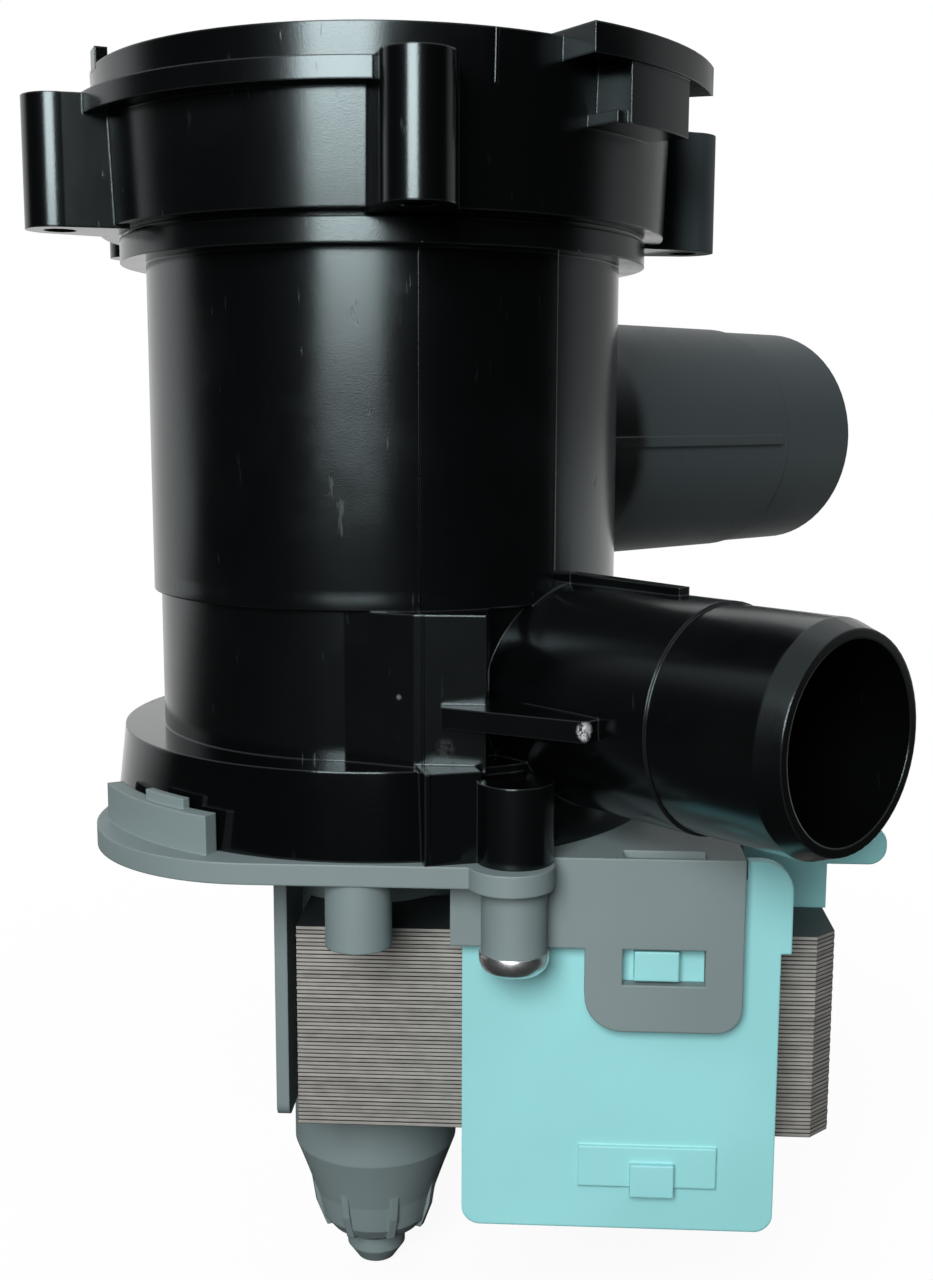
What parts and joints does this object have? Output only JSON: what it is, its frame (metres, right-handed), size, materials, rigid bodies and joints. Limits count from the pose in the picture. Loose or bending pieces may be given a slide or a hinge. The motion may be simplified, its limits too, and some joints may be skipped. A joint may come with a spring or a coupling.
{
  "type": "drain pump",
  "caption": "Washing machine drain pump: upright filter chamber with a screwed cap, two slanting hose spigots, and below it a motor with a laminated core and a clipped coil cover.",
  "frame": {"origin": "on the filter barrel's axis, in the plane of the screw boss tops that the front panel meets", "axes": "+Z along the barrel towards the filter cap; +X along the core's legs, away from the rotor and towards the spigots' side; +Y completes the right-handed frame, with the inlet spigot between +X and +Y and the outlet between +X and -Y"},
  "size_m": [0.1087, 0.122, 0.1592],
  "materials": {
    "black_plastic": "injection-moulded black polypropylene, semi-gloss",
    "grey_plastic": "grey glass-filled polypropylene, matt",
    "teal_plastic": "light turquoise polyamide, satin",
    "lamination_steel": "stacked electrical steel sheets with bare cut edges",
    "screw_steel": "bright zinc-plated steel",
    "copper_wire": "enamelled copper wire",
    "bobbin_plastic": "natural polyamide",
    "black_rubber": "nitrile rubber",
    "ferrite": "sintered ferrite, ground",
    "shaft_steel": "ground stainless steel",
    "bearing_carbon": "carbon bush, smooth",
    "white_plastic": "natural acetal and polypropylene",
    "tin_brass": "tin-plated brass"
  },
  "bodies": {
    "pump_body": {"pump_housing": "black_plastic", "motor_flange": "grey_plastic", "housing_gasket": "black_rubber", "housing_screws": "screw_steel", "stator_core": "lamination_steel", "bobbin_front": "bobbin_plastic", "bobbin_rear": "bobbin_plastic", "winding_front": "copper_wire", "winding_rear": "copper_wire", "coil_cover": "teal_plastic", "terminal_shroud": "teal_plastic", "terminal_line": "tin_brass", "terminal_neutral": "tin_brass", "rear_bearing_mount": "black_rubber", "rear_bearing": "bearing_carbon", "front_bearing": "bearing_carbon", "bearing_cover": "white_plastic", "front_bearing_mount": "black_rubber", "bearing_cover_seal": "black_rubber", "shaft_seal": "black_rubber"},
    "rotor": {"rotor_magnet": "ferrite", "rotor_hub": "white_plastic", "rotor_shaft": "shaft_steel", "thrust_washer": "bearing_carbon", "clutch_driver": "white_plastic"},
    "impeller": {"impeller": "white_plastic", "impeller_cap": "white_plastic"},
    "filter_carrier": {"filter_seal": "black_rubber"},
    "filter": {"filter_cap": "black_plastic", "filter_cage": "black_plastic"}
  },
  "joints": [
    {"name": "rotor_spin", "type": "hinge", "parent": "pump_body", "child": "rotor", "pos_m": [-0.0017, 0, -0.086], "axis": [0, 0, 1], "continuous": true},
    {"name": "impeller_lost_motion", "type": "hinge", "parent": "rotor", "child": "impeller", "pos_m": [-0.0017, 0, -0.086], "axis": [0, 0, 1], "range_deg": [-90, 90]},
    {"name": "filter_lift", "type": "slide", "parent": "pump_body", "child": "filter_carrier", "axis": [0, 0, 1], "range_m": [0, 0.008]},
    {"name": "filter_turn", "type": "hinge", "parent": "filter_carrier", "child": "filter", "pos_m": [0, 0, 0.0025], "axis": [0, 0, 1], "range_deg": [0, 360]}
  ],
  "couplings": [
    {"joint": "filter_turn", "follows": "filter_lift", "rad_per_m": 785.39}
  ]
}
